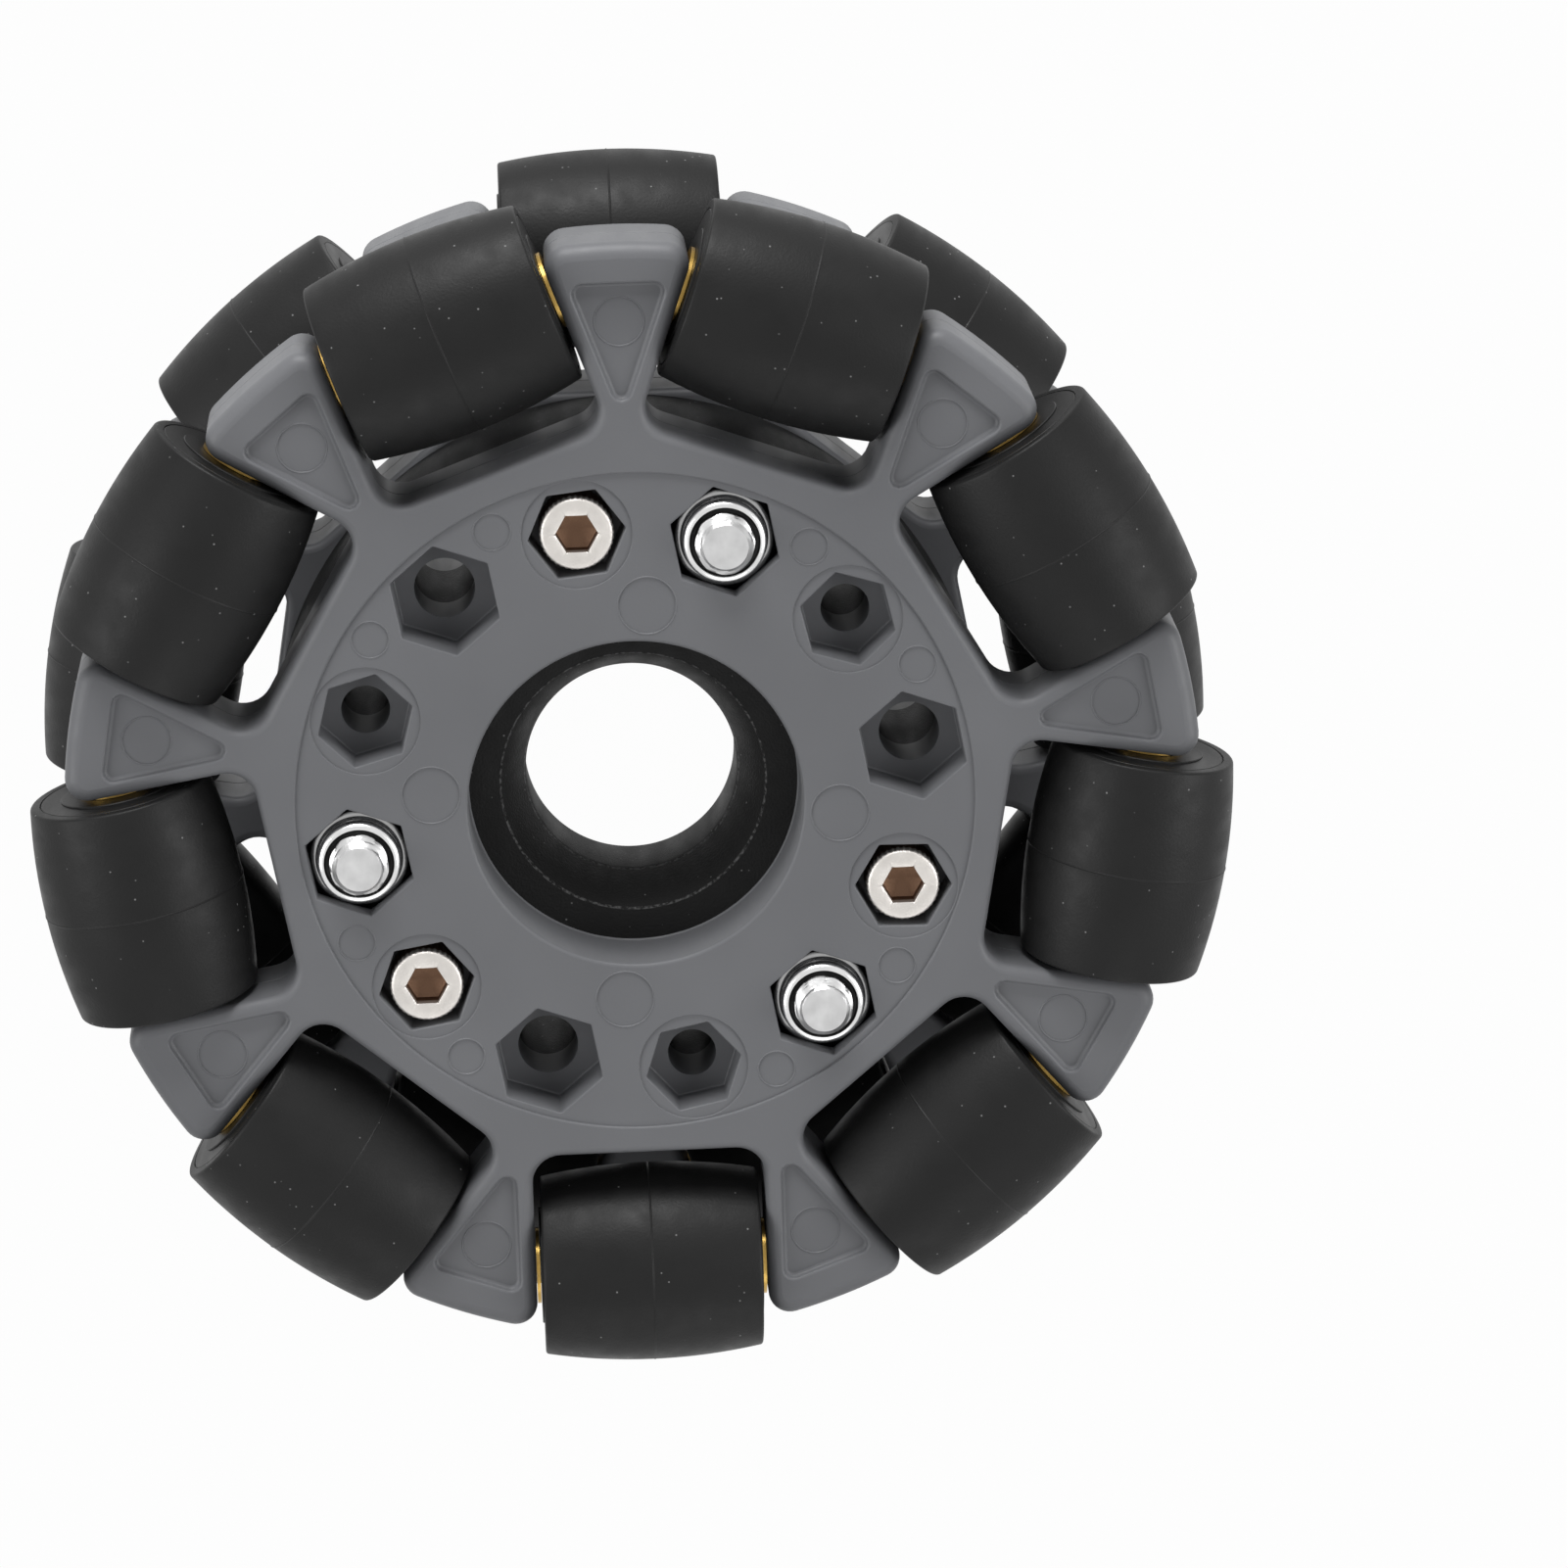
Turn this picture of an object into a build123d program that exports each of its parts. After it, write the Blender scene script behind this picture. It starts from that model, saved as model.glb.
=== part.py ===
from build123d import *
from math import cos, radians, sin, sqrt

# Double-row omni wheel: two staggered rows of crowned rollers on one hub.
# Millimetres. The wheel's axis is Z, the origin is the wheel's centre, the front face looks up
# along +Z, and one arm of the front row points along +Y.

# Wheel
wheel_radius = 81.5  # over the crowns of the rollers
rollers_per_row = 9
row_spacing = 34.0  # between the middles of the two rows
front_arm_angle = 90.0  # degrees, counter-clockwise from +X

# Rollers
tread_radius = 13.7  # at the middle of the crown
tread_edge_radius = 1.0
core_radius = 10.8
boss_radius = 8.0
boss_height = 0.25

# Pins and washers that carry the rollers
pin_radius = 2.5
pin_grip = 5.1  # held in the arm at each end
washer_radius = 5.25
washer_thickness = 0.5

# Shells: an outer and an inner one clamp the pins of a row between them
shell_thickness = 8.0
arm_neck_width = 6.65  # where the corners of two bays come nearest
arm_tip_inset = 5.1  # from the rollers' crowns in to the arm's tip
tip_corner_radius = 3.0
edge_radius = 1.3
rim_gap = 4.7  # between the rollers and the rim
rim_width = 3.8  # flat rim around the recessed hub face
bay_corner_radius = 4.0
hub_recess_depth = 0.4
arm_recess_depth = 1.0
arm_rib = 2.2  # wall around the arm's recess
arm_tip_rib = 5.3
arm_recess_corner_radius = 1.3
plug_wall = 1.6  # around the large pockets

# Hub core and bore
core_rim_step = 0.4
seat_radius = 22.5
seat_depth = 11.3
spigot_shoulder = 0.9  # the spigot is wider than the seat above it
cone_mouth_radius = 18.0
neck_radius = 14.5
neck_length = 10.2
mouth_radius = 0.5  # rounding of the seat's mouth

# Bolt circle: hexagon pockets of two sizes take turns around it
bolt_circle_inset = 11.4  # from the bays in to the bolt circle
pockets_per_size = 6
small_pocket_angle = 40.0
small_pocket_turns = (33.0, -4.0, 5.6, -0.7, 1.4, -11.5)  # the mould's round pins sit at any angle
large_pocket_angle = 10.0
small_pocket_ring_radius = 7.4
small_pocket_ring_depth = 0.25

# Small screws and nuts
m6_radius = 3.0
m6_hole_clearance = 0.3
m6_head_radius = 5.0
m6_head_height = 6.0
m6_socket_width = 5.0
m6_socket_depth = 3.0
m6_length = 45.0
m6_nut_width = 10.0
m6_nut_height = 6.0
m6_pocket_room = 0.7  # around the head
m6_pocket_sink = 0.4  # from the head to the hub face

# Large bolts and nuts
m8_radius = 4.0
m8_hole_clearance = 0.1
m8_width = 13.0  # across the flats of nut and head
m8_head_height = 5.3
m8_nut_height = 8.0
m8_nut_hexagon_height = 5.2
m8_collar_radius = 5.65
m8_length = 45.0
m8_pocket_room = 0.1
m8_pocket_proud = 0.5  # the nut stands above the hub face

# Mould marks
mark_depth = 0.12
arm_mark_radius = 3.2
arm_mark_inset = 10.5  # from the arm's tip
large_mark_radius = 3.8
large_mark_step = 5.0  # from the seat out to the marks
large_mark_angle = 85.0
small_mark_radius = 2.4
small_mark_inset = 3.4  # from the edge of the hub face
small_mark_angles = (25.0, 55.0)
mark_groups = 4  # times that the marks come back around the hub face

# Clearances
running_clearance = 0.05  # pin in roller, pin in washer
side_play = 0.075  # each side of a washer
seat_clearance = 0.05  # pin in its groove, plug in its ring, spigot in its bore
thread_clearance = 0.02
screw_chamfer = 0.9
head_chamfer = 0.5

# Worked out from the sizes above
row_angle = 360 / rollers_per_row
front_roller_angle = front_arm_angle + row_angle / 2
back_roller_angle = front_arm_angle
flip_angle = front_arm_angle + row_angle / 4  # the back half is the front one turned over here
row_plane = row_spacing / 2
face_z = row_plane + shell_thickness
flange_z = row_plane - shell_thickness
hub_face_z = face_z - hub_recess_depth
axle_circle_radius = wheel_radius - tread_radius
rim_apothem = axle_circle_radius - tread_radius - rim_gap
arm_tip_radius = wheel_radius - arm_tip_inset
arm_slope = radians(row_angle / 2)  # between an arm and the bays beside it
bay_corner_reach = (rim_apothem + bay_corner_radius) * sin(arm_slope)
bay_half_width = (bay_corner_reach - arm_neck_width / 2) / cos(arm_slope)
tread_half = bay_half_width - boss_height - washer_thickness - 2 * side_play
crown_end_radius = sqrt(wheel_radius**2 - tread_half**2) - axle_circle_radius
pin_length = 2 * (bay_half_width + pin_grip)
hub_face_radius = rim_apothem - rim_width
bolt_circle_radius = rim_apothem - bolt_circle_inset
spigot_z = hub_face_z - seat_depth
spigot_radius = seat_radius + spigot_shoulder
spigot_bore_radius = spigot_radius + seat_clearance
small_pocket_width = 2 * (m6_head_radius + m6_pocket_room)
small_pocket_depth = m6_head_height + m6_pocket_sink
large_pocket_width = m8_width + 2 * m8_pocket_room
large_pocket_depth = m8_nut_height - m8_pocket_proud
plug_radius = bolt_circle_radius + large_pocket_width / 2 + plug_wall
pocket_angle = 360 / pockets_per_size


def axle_planes(height, first_angle):
    """A plane on each axle of a row: X runs outwards, Y along the axle, Z up."""
    planes = []
    for index in range(rollers_per_row):
        angle = radians(first_angle + index * row_angle)
        outwards = Vector(cos(angle), sin(angle), 0)
        origin = outwards * axle_circle_radius + Vector(0, 0, height)
        planes.append(Plane(origin=origin, x_dir=outwards, z_dir=(0, 0, 1)))
    return planes


def turned_over(piece):
    """The piece of the front half, turned over to the back so that its row is staggered."""
    direction = (cos(radians(flip_angle)), sin(radians(flip_angle)), 0)
    return piece.rotate(Axis((0, 0, 0), direction), 180)


def row_outline(height):
    """Outline of a row's shells: a disc with a bay for each roller, which leaves the arms."""
    with BuildSketch(Plane.XY.offset(height)) as outline:
        Circle(arm_tip_radius)
        with PolarLocations(rim_apothem, rollers_per_row, start_angle=front_roller_angle):
            RectangleRounded(
                wheel_radius,
                2 * bay_half_width,
                bay_corner_radius,
                align=(Align.MIN, Align.CENTER),
                mode=Mode.SUBTRACT,
            )
        tips = outline.vertices().filter_by(lambda v: Vector(v.X, v.Y).length > arm_tip_radius - 0.01)
        fillet(tips, tip_corner_radius)
    return outline.sketch


def arm_recess_outline(height):
    """Triangle inside each arm, one rib's width from its sides."""
    wall = bay_half_width + arm_rib
    inner_end = wall / sin(arm_slope)
    outer_end = arm_tip_radius - arm_tip_rib
    half_width = (outer_end * sin(arm_slope) - wall) / cos(arm_slope)
    with BuildSketch(Plane.XY.offset(height)) as outline:
        with PolarLocations(0, rollers_per_row, start_angle=front_arm_angle):
            Polygon(
                (inner_end, 0), (outer_end, half_width), (outer_end, -half_width), align=None
            )
        fillet(outline.vertices(), arm_recess_corner_radius)
    return outline.sketch


def hexagon_ring(height, width, first_angle, count, turns=(0.0,)):
    """Hexagons on the bolt circle, each turned from having a flat side towards the wheel's axis."""
    with BuildSketch(Plane.XY.offset(height)) as ring:
        for index in range(count):
            turn = turns[index % len(turns)]
            with PolarLocations(
                bolt_circle_radius, 1, start_angle=first_angle + index * 360 / count
            ):
                RegularPolygon(width / 2, 6, major_radius=False, rotation=30 + turn)
    return ring.sketch


def disc_ring(height, radius, circle_radius, first_angle, count):
    """Discs spread around a circle."""
    with BuildSketch(Plane.XY.offset(height)) as ring:
        with PolarLocations(circle_radius, count, start_angle=first_angle):
            Circle(radius)
    return ring.sketch


# Front outer shell: face, arms and the plug that carries the bolt circle
outer_outline = row_outline(row_plane)
arm_recesses = arm_recess_outline(face_z)
arm_floor_z = face_z - arm_recess_depth
arm_mark_circle_radius = arm_tip_radius - arm_mark_inset
arm_marks = disc_ring(
    arm_floor_z, arm_mark_radius, arm_mark_circle_radius, front_arm_angle, rollers_per_row
)
large_mark_circle_radius = seat_radius + large_mark_step
large_marks_ring = disc_ring(
    hub_face_z, large_mark_radius, large_mark_circle_radius, large_mark_angle, mark_groups
)
small_mark_circle_radius = hub_face_radius - small_mark_inset
small_marks_rings = [
    disc_ring(hub_face_z, small_mark_radius, small_mark_circle_radius, angle, mark_groups)
    for angle in small_mark_angles
]
small_pockets = hexagon_ring(
    hub_face_z, small_pocket_width, small_pocket_angle, pockets_per_size, small_pocket_turns
)
large_pockets = hexagon_ring(hub_face_z, large_pocket_width, large_pocket_angle, pockets_per_size)
small_pocket_rings = disc_ring(
    hub_face_z, small_pocket_ring_radius, bolt_circle_radius, small_pocket_angle, pockets_per_size
)
small_holes = disc_ring(
    0, m6_radius + m6_hole_clearance, bolt_circle_radius, small_pocket_angle, pockets_per_size
)
large_holes = disc_ring(
    0, m8_radius + m8_hole_clearance, bolt_circle_radius, large_pocket_angle, pockets_per_size
)

with BuildPart() as front_outer_shell:
    extrude(outer_outline, amount=shell_thickness)
    fillet(front_outer_shell.faces().sort_by(Axis.Z)[-1].edges(), edge_radius)
    with BuildSketch(Plane.XY.offset(flange_z)):
        Circle(plug_radius)
    extrude(amount=row_plane - flange_z)
    with BuildSketch(Plane.XY.offset(face_z)):
        Circle(hub_face_radius)
    extrude(amount=-hub_recess_depth, mode=Mode.SUBTRACT)
    extrude(arm_recesses, amount=-arm_recess_depth, mode=Mode.SUBTRACT)
    with BuildSketch(Plane.XY.offset(hub_face_z)):
        Circle(seat_radius)
    extrude(amount=-seat_depth, mode=Mode.SUBTRACT)
    with BuildSketch(Plane.XY.offset(flange_z)):
        Circle(spigot_bore_radius)
    extrude(amount=spigot_z - flange_z, mode=Mode.SUBTRACT)
    seat_mouth = front_outer_shell.edges().filter_by(GeomType.CIRCLE)
    seat_mouth = seat_mouth.filter_by(lambda e: abs(e.radius - seat_radius) < 0.01)
    fillet(seat_mouth.sort_by(Axis.Z)[-1], mouth_radius)
    extrude(small_pocket_rings, amount=-small_pocket_ring_depth, mode=Mode.SUBTRACT)
    extrude(small_pockets, amount=-small_pocket_depth, mode=Mode.SUBTRACT)
    extrude(large_pockets, amount=-large_pocket_depth, mode=Mode.SUBTRACT)
    extrude(small_holes, amount=face_z, mode=Mode.SUBTRACT)
    extrude(large_holes, amount=face_z, mode=Mode.SUBTRACT)
    extrude(arm_marks, amount=-mark_depth, mode=Mode.SUBTRACT)
    extrude(large_marks_ring, amount=-mark_depth, mode=Mode.SUBTRACT)
    for small_marks_ring in small_marks_rings:
        extrude(small_marks_ring, amount=-mark_depth, mode=Mode.SUBTRACT)
    with Locations(*axle_planes(row_plane, front_roller_angle)):
        Cylinder(
            pin_radius + seat_clearance,
            pin_length + 2 * seat_clearance,
            rotation=(90, 0, 0),
            mode=Mode.SUBTRACT,
        )
front_outer_shell.part.label = "front_outer_shell"
export_step(front_outer_shell.part, "parts/front_outer_shell.step")

# Front inner shell: the arms' other half, on a ring around the plug
inner_outline = row_outline(flange_z)

with BuildPart() as front_inner_shell:
    extrude(inner_outline, amount=shell_thickness)
    fillet(front_inner_shell.faces().sort_by(Axis.Z)[0].edges(), edge_radius)
    with BuildSketch(Plane.XY.offset(flange_z)):
        Circle(plug_radius + seat_clearance)
    extrude(amount=shell_thickness, mode=Mode.SUBTRACT)
    with Locations(*axle_planes(row_plane, front_roller_angle)):
        Cylinder(
            pin_radius + seat_clearance,
            pin_length + 2 * seat_clearance,
            rotation=(90, 0, 0),
            mode=Mode.SUBTRACT,
        )
front_inner_shell.part.label = "front_inner_shell"
export_step(front_inner_shell.part, "parts/front_inner_shell.step")

# Back shells: the same mouldings, turned over
with BuildPart() as back_outer_shell:
    add(turned_over(front_outer_shell.part))
back_outer_shell.part.label = "back_outer_shell"
export_step(back_outer_shell.part, "parts/back_outer_shell.step")

with BuildPart() as back_inner_shell:
    add(turned_over(front_inner_shell.part))
back_inner_shell.part.label = "back_inner_shell"
export_step(back_inner_shell.part, "parts/back_inner_shell.step")

# Hub core: spacer between the rows, with a spigot into each half and the wheel's bore
with BuildPart() as hub_core:
    with BuildSketch(Plane.XZ):
        with BuildLine():
            Polyline(
                (neck_radius, -neck_length / 2),
                (neck_radius, neck_length / 2),
                (cone_mouth_radius, spigot_z),
                (spigot_radius, spigot_z),
                (spigot_radius, flange_z),
                (rim_apothem - core_rim_step, flange_z),
                (rim_apothem - core_rim_step, -flange_z),
                (spigot_radius, -flange_z),
                (spigot_radius, -spigot_z),
                (cone_mouth_radius, -spigot_z),
                close=True,
            )
        make_face()
    revolve(axis=Axis.Z)
    extrude(small_holes, amount=flange_z, both=True, mode=Mode.SUBTRACT)
    extrude(large_holes, amount=flange_z, both=True, mode=Mode.SUBTRACT)
hub_core.part.label = "hub_core"
export_step(hub_core.part, "parts/hub_core.step")


def roller_pins(planes):
    """A plain steel pin on each axle."""
    with BuildPart() as pins:
        with Locations(*planes):
            Cylinder(pin_radius, pin_length, rotation=(90, 0, 0))
    return pins.part


def roller_washers(planes):
    """A flat washer at each end of each roller."""
    offset = tread_half + boss_height + side_play + washer_thickness / 2
    with BuildPart() as washers:
        with Locations(*planes):
            with Locations((0, offset, 0), (0, -offset, 0)):
                Cylinder(washer_radius, washer_thickness, rotation=(90, 0, 0))
        with Locations(*planes):
            Cylinder(
                pin_radius + running_clearance,
                pin_length,
                rotation=(90, 0, 0),
                mode=Mode.SUBTRACT,
            )
    return washers.part


def roller_tread(axle):
    """Rubber tread: its crown is an arc of the wheel's own outline."""
    with BuildPart() as tread:
        with BuildSketch(axle) as profile:
            with BuildLine():
                crown = ThreePointArc(
                    (crown_end_radius, -tread_half), (tread_radius, 0), (crown_end_radius, tread_half)
                )
                Polyline(crown @ 1, (core_radius, tread_half), (core_radius, -tread_half), crown @ 0)
            make_face()
            fillet(profile.vertices().sort_by(Axis.X)[-2:], tread_edge_radius)
        revolve(axis=Axis(axle.origin, axle.y_dir))
    return tread.part


def roller_core(axle):
    """Moulded core inside the tread, with a low boss at each end and a bore for the pin."""
    boss_end = tread_half + boss_height
    bore = pin_radius + running_clearance
    with BuildPart() as core:
        with BuildSketch(axle):
            Polygon(
                (bore, -boss_end),
                (boss_radius, -boss_end),
                (boss_radius, -tread_half),
                (core_radius, -tread_half),
                (core_radius, tread_half),
                (boss_radius, tread_half),
                (boss_radius, boss_end),
                (bore, boss_end),
                align=None,
            )
        revolve(axis=Axis(axle.origin, axle.y_dir))
    return core.part


# Rollers, pins and washers of both rows
rows = {
    "front": axle_planes(row_plane, front_roller_angle),
    "back": axle_planes(-row_plane, back_roller_angle),
}
for row, planes in rows.items():
    pins = roller_pins(planes)
    pins.label = f"{row}_roller_pins"
    export_step(pins, f"parts/{row}_roller_pins.step")
    washers = roller_washers(planes)
    washers.label = f"{row}_roller_washers"
    export_step(washers, f"parts/{row}_roller_washers.step")
    for number, axle in enumerate(planes, start=1):
        tread = roller_tread(axle)
        tread.label = f"{row}_tread_{number}"
        export_step(tread, f"parts/{row}_tread_{number}.step")
        core = roller_core(axle)
        core.label = f"{row}_roller_core_{number}"
        export_step(core, f"parts/{row}_roller_core_{number}.step")

# Small socket screws: heads in the front pockets
small_seat_z = hub_face_z - small_pocket_depth
first_small_screw = small_pocket_angle + pocket_angle
screw_count = pockets_per_size // 2

with BuildPart() as m6_socket_screws:
    extrude(
        disc_ring(small_seat_z, m6_head_radius, bolt_circle_radius, first_small_screw, screw_count),
        amount=m6_head_height,
    )
    head_rims = m6_socket_screws.faces().sort_by(Axis.Z)[-screw_count:].edges()
    chamfer(head_rims, head_chamfer)
    extrude(
        disc_ring(small_seat_z, m6_radius, bolt_circle_radius, first_small_screw, screw_count),
        amount=-m6_length,
    )
    extrude(
        hexagon_ring(
            small_seat_z + m6_head_height, m6_socket_width, first_small_screw, screw_count
        ),
        amount=-m6_socket_depth,
        mode=Mode.SUBTRACT,
    )
m6_socket_screws.part.label = "m6_socket_screws"
export_step(m6_socket_screws.part, "parts/m6_socket_screws.step")

nut_turns = small_pocket_turns[1::2]  # every second pocket, from the first screw on

with BuildPart() as front_m6_nuts:
    extrude(
        hexagon_ring(small_seat_z, m6_nut_width, first_small_screw, screw_count, nut_turns),
        amount=m6_nut_height,
    )
    extrude(
        disc_ring(
            small_seat_z,
            m6_radius + thread_clearance,
            bolt_circle_radius,
            first_small_screw,
            screw_count,
        ),
        amount=m6_nut_height,
        mode=Mode.SUBTRACT,
    )

with BuildPart() as m6_nuts:
    add(turned_over(front_m6_nuts.part))
m6_nuts.part.label = "m6_nuts"
export_step(m6_nuts.part, "parts/m6_nuts.step")

# Large bolts: heads in the back pockets, collar nuts in the front ones
large_seat_z = hub_face_z - large_pocket_depth
first_large_bolt = large_pocket_angle + pocket_angle

with BuildPart() as m8_bolts:
    extrude(
        disc_ring(-large_seat_z, m8_radius, bolt_circle_radius, first_large_bolt, screw_count),
        amount=m8_length,
    )
    shank_ends = m8_bolts.faces().sort_by(Axis.Z)[-screw_count:].edges()
    chamfer(shank_ends, screw_chamfer)
    extrude(
        hexagon_ring(-large_seat_z, m8_width, first_large_bolt, screw_count),
        amount=-m8_head_height,
    )
m8_bolts.part.label = "m8_bolts"
export_step(m8_bolts.part, "parts/m8_bolts.step")

with BuildPart() as m8_nuts:
    extrude(
        hexagon_ring(large_seat_z, m8_width, first_large_bolt, screw_count),
        amount=m8_nut_hexagon_height,
    )
    extrude(
        disc_ring(
            large_seat_z, m8_collar_radius, bolt_circle_radius, first_large_bolt, screw_count
        ),
        amount=m8_nut_height,
    )
    collar_rims = m8_nuts.faces().sort_by(Axis.Z)[-screw_count:].edges()
    fillet(collar_rims, head_chamfer)
    extrude(
        disc_ring(
            large_seat_z,
            m8_radius + thread_clearance,
            bolt_circle_radius,
            first_large_bolt,
            screw_count,
        ),
        amount=m8_nut_height,
        mode=Mode.SUBTRACT,
    )
m8_nuts.part.label = "m8_nuts"
export_step(m8_nuts.part, "parts/m8_nuts.step")
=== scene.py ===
import math

import bmesh
import bpy
import numpy as np
from mathutils import Matrix, Vector
from mathutils.geometry import delaunay_2d_cdt


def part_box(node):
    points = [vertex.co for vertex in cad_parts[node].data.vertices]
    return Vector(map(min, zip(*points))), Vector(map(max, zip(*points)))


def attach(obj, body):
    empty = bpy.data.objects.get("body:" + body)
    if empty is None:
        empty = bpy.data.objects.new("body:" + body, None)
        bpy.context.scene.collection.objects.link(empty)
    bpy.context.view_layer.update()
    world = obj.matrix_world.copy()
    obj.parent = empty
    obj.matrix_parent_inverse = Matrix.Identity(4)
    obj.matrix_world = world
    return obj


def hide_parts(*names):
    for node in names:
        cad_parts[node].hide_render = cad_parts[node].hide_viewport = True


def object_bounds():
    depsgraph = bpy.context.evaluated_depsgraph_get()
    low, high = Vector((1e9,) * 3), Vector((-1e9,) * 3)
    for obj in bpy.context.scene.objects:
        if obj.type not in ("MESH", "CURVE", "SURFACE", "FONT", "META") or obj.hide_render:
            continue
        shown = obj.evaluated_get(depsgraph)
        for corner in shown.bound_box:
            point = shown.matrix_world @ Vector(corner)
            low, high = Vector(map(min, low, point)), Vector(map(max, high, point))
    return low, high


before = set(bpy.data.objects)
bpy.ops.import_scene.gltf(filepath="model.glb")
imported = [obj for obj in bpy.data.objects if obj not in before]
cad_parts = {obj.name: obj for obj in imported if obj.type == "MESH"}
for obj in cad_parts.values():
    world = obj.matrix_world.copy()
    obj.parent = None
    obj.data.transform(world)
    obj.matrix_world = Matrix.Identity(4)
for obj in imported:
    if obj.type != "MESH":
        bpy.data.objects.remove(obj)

# Omni wheel with two staggered rows of crowned rollers. Sizes are in millimetres, in the frame of
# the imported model: the wheel's axis is Z, the front face looks up along +Z.
cad_low, cad_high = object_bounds()
METRES = 0.001
LOW, HIGH = 0, 1
X, Y, Z = 0, 1, 2


def reach(node, axis, side):
    """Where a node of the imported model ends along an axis, in millimetres."""
    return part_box(node)[side][axis] / METRES


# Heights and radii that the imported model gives
face_z = reach("front_outer_shell", Z, HIGH)
flange_z = reach("front_outer_shell", Z, LOW)
row_plane = reach("front_inner_shell", Z, HIGH)
spigot_z = reach("hub_core", Z, HIGH)
core_rim_radius = reach("hub_core", X, HIGH)
wheel_radius = reach("back_tread_1", Y, HIGH)
tread_radius = reach("front_tread_1", Z, HIGH) - row_plane
tread_half = (reach("back_tread_1", X, HIGH) - reach("back_tread_1", X, LOW)) / 2
boss_end = (reach("back_roller_core_1", X, HIGH) - reach("back_roller_core_1", X, LOW)) / 2
core_radius = (reach("back_roller_core_1", Z, HIGH) - reach("back_roller_core_1", Z, LOW)) / 2
socket_head_z = reach("m6_socket_screws", Z, HIGH)
socket_end_z = reach("m6_socket_screws", Z, LOW)
small_nut_low, small_nut_high = (reach("m6_nuts", Z, side) for side in (LOW, HIGH))
bolt_end_z = reach("m8_bolts", Z, HIGH)
bolt_head_z = reach("m8_bolts", Z, LOW)
large_nut_low, large_nut_high = (reach("m8_nuts", Z, side) for side in (LOW, HIGH))

# Wheel and shells
rollers_per_row = 9
row_angle = 360 / rollers_per_row
front_roller_angle = 110.0
back_roller_angle = 90.0
flip_angle = 100.0  # the back half is the front one turned over about this direction
axle_circle_radius = wheel_radius - tread_radius
rim_apothem = core_rim_radius + 0.4
bay_half_width = boss_end + 0.65  # washer and side play
bay_corner_radius = 4.0
arm_tip_radius = wheel_radius - 5.1
tip_corner_radius = 3.0
rim_edge_radius = 1.0
tip_edge_radius = 2.0
parting_chamfer = 0.15
arm_recess_depth = 1.0
arm_recess_wall = bay_half_width + 2.2
arm_recess_end = arm_tip_radius - 5.3
arm_recess_corner_radius = 1.3
arm_recess_edge = 0.35
arm_recess_foot = 0.5

# Hub face
hub_face_z = face_z - 0.4
hub_face_radius = rim_apothem - 3.8
hub_face_edge = 0.25
plug_radius = 46.2
moulding_play = 0.05  # between mouldings that fit into each other
seat_radius = 22.5
seat_mouth_radius = 0.5
seat_foot_z = spigot_z + 0.02
seat_flash = 0.18  # thin lip at the foot of the seat's wall
seat_flash_low = spigot_z + 0.1
seat_flash_high = spigot_z + 0.3
spigot_radius = seat_radius + 0.9
spigot_bore_radius = spigot_radius + moulding_play
cone_mouth_radius = 18.0
neck_radius = 14.5
neck_half = 5.1
core_edge = 0.2

# Screws and nuts
thread_depth = 0.6  # share of the pitch
rings_per_pitch = 8
nut_play = 0.02
hexagon_inset = 0.25  # between a hexagon's sides and its flat face
collar_roll = 0.9  # radius of the collar's rolled rim
fillet_out, fillet_up = 0.25, 0.3  # at the collar's foot
m6_radius = 3.0
m6_pitch = 1.0
m6_head_radius = 5.0
m6_head_height = 6.0
m6_socket_width = 5.0
m6_socket_mouth = 3.0
m6_socket_depth = 3.0
m6_drill_point = 0.9
m6_tip_radius = 2.3
m6_thread_end = small_nut_low + 1.0
m6_runout = 0.4
m6_nut_width = 10.0
m6_hexagon_height = 4.0
m6_collar_radius = 4.4
m6_nut_bore = m6_radius + nut_play
knurl_ridges = 40
knurl_depth = 0.14
m8_radius = 4.0
m8_pitch = 1.25
m8_tip_radius = 3.0
m8_runout = 0.3
m8_width = 13.0
m8_hexagon_height = 5.2
m8_collar_radius = 5.65
m8_nut_bore = m8_radius + nut_play

# Bolt circle
bolt_circle_radius = rim_apothem - 11.4
small_pocket_angles = tuple(40 + 60 * index for index in range(6))
small_pocket_turns = (33.0, -4.0, 5.6, -0.7, 1.4, -11.5)  # degrees, and no two are alike
large_pocket_angles = tuple(10 + 60 * index for index in range(6))
small_pocket_width = 11.4
large_pocket_width = 13.2
small_pocket_floor = socket_head_z - m6_head_height
large_pocket_floor = large_nut_low
bolt_head_low = -large_pocket_floor
pocket_corner_radius = 0.35
pocket_edge = 0.2
pocket_foot = 0.25
ring_radius = 7.4  # a shallow ring around each small pocket
ring_depth = 0.25
ring_edge = 0.1
ring_foot = 0.05
small_hole_radius = 3.3
large_hole_radius = 4.1
small_screw_angles = small_pocket_angles[1::2]
small_screw_turns = (-10.0,)
large_bolt_angles = large_pocket_angles[1::2]

# Mould marks, each as radius, distance from the axis and angles
mark_depth = 0.12
mark_edge = 0.02
mark_foot = 0.03
mark_lip = 0.24  # width of the fine lip around a mark
mark_lip_height = 0.06
arm_mark_radius = 3.2
arm_mark_distance = arm_tip_radius - 10.5
large_mark_radius = 3.8
large_mark_distance = seat_radius + 5.0
large_mark_angles = (85, 175, 265, 355)
small_mark_radius = 2.4
small_mark_distance = hub_face_radius - 3.4
small_mark_angles = (25, 55, 115, 145, 205, 235, 295, 325)

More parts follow.
